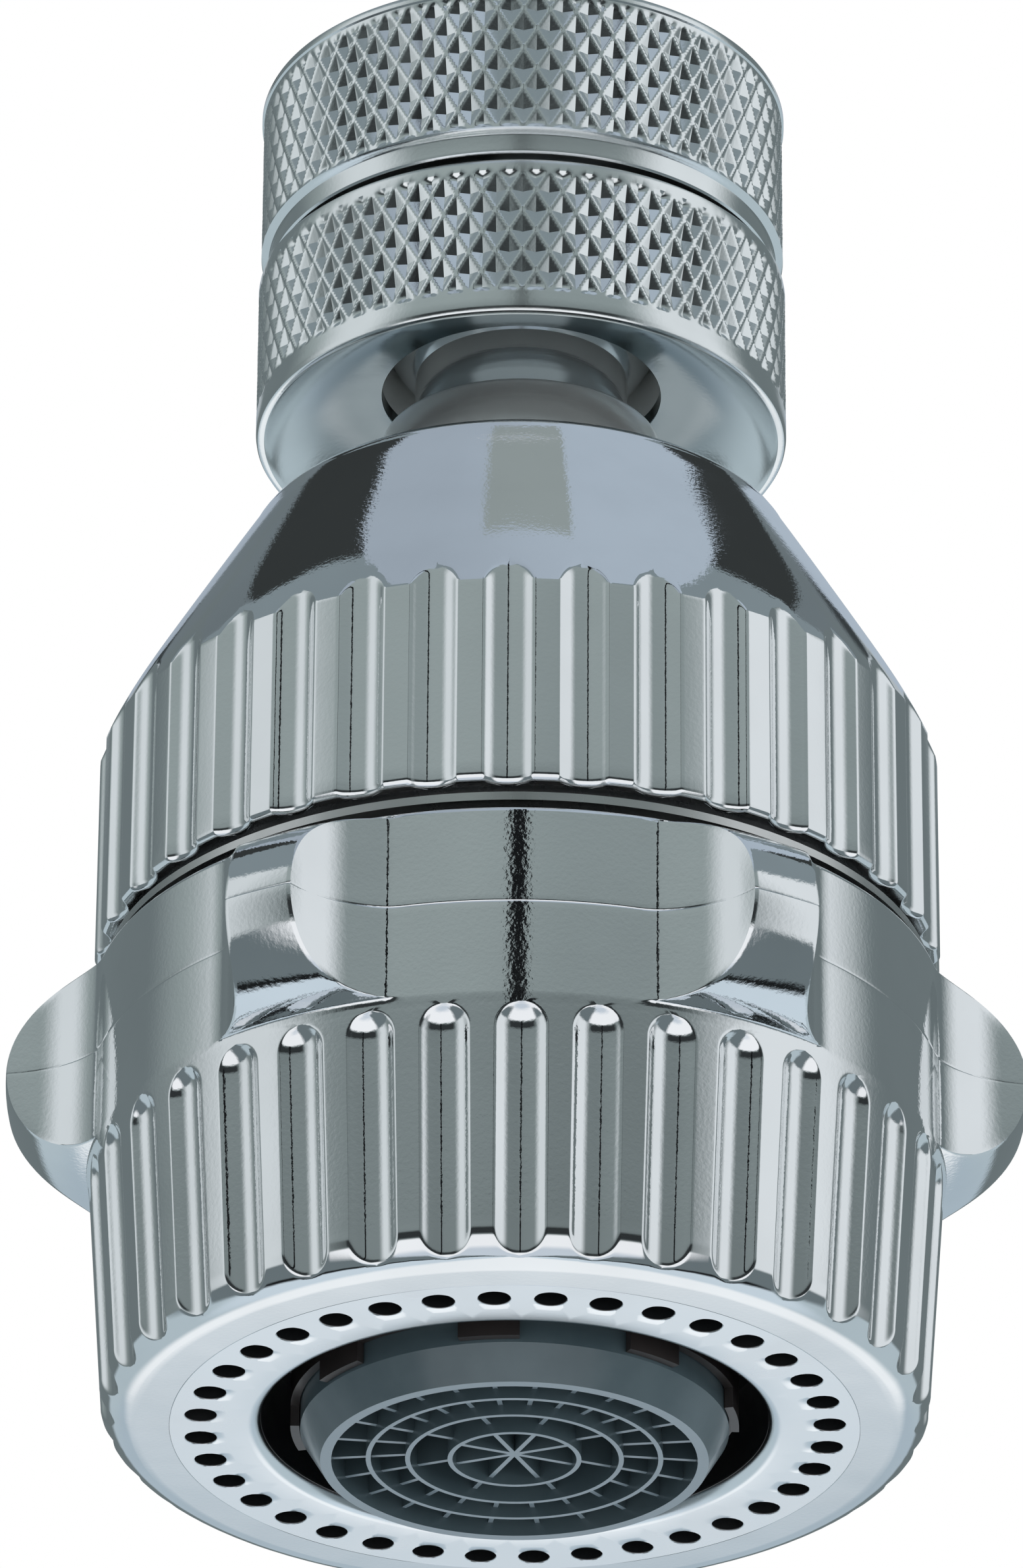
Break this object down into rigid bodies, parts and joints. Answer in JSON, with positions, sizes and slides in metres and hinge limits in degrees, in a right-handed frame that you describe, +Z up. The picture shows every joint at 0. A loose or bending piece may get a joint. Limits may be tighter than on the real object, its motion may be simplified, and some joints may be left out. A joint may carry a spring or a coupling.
{
  "type": "tap aerator",
  "caption": "Chromed swivel tap aerator on a ball joint: knurled inlet rings, a fluted cone and a lobed sleeve that twists from straight jet to spray.",
  "frame": {"origin": "centre of the inlet thread's mouth, at the top of the part, where it meets the tap", "axes": "+Z up along the thread, into the tap; the head hangs down along -Z; -Y is the side that the picture was taken from"},
  "size_m": [0.0528, 0.0476, 0.0797],
  "materials": {
    "chrome": "polished",
    "satin_chrome": "satin",
    "steel": "satin",
    "black_plastic": "satin",
    "white_plastic": "satin",
    "grey_plastic": "matte",
    "slate_plastic": "satin",
    "brown_plastic": "satin",
    "ceramic": "satin",
    "rubber": "matte"
  },
  "bodies": {
    "adapter": {"inlet_adapter": "chrome", "inlet_washer": "rubber", "inlet_screen": "steel", "ball_seat": "white_plastic", "ball_seal": "rubber", "clamp_ring": "chrome"},
    "slip": {"slip_ring": "white_plastic"},
    "head": {"ball_stem": "chrome", "stem_gasket": "rubber", "upper_housing": "chrome", "housing_core": "grey_plastic", "core_seal": "rubber", "port_disc": "ceramic", "port_seals": "rubber", "centre_screw": "steel", "thrust_washer": "steel", "stop_pins": "steel", "seam_ring": "black_plastic", "slide_ring": "steel"},
    "sleeve": {"grip_sleeve": "chrome", "sleeve_core": "grey_plastic", "valve_disc": "ceramic", "spray_plate": "satin_chrome", "spray_gasket": "rubber", "jet_gasket": "rubber", "aerator_collar": "brown_plastic", "aerator_housing": "slate_plastic", "mesh_screens": "steel", "diffuser_disc": "white_plastic", "flow_regulator": "white_plastic", "regulator_ring": "rubber", "dome_filter": "white_plastic", "aerator_seal": "rubber"}
  },
  "joints": [
    {"name": "swivel", "type": "hinge", "parent": "adapter", "child": "slip", "pos_m": [0, 0, -0.0106], "axis": [0, 0, 1], "continuous": true},
    {"name": "tilt", "type": "hinge", "parent": "slip", "child": "head", "pos_m": [0, 0, -0.0106], "axis": [1, 0, 0], "range_deg": [-12, 12]},
    {"name": "sleeve_twist", "type": "hinge", "parent": "head", "child": "sleeve", "pos_m": [0, 0, -0.0586], "axis": [0, 0, 1], "range_deg": [0, 60]}
  ]
}
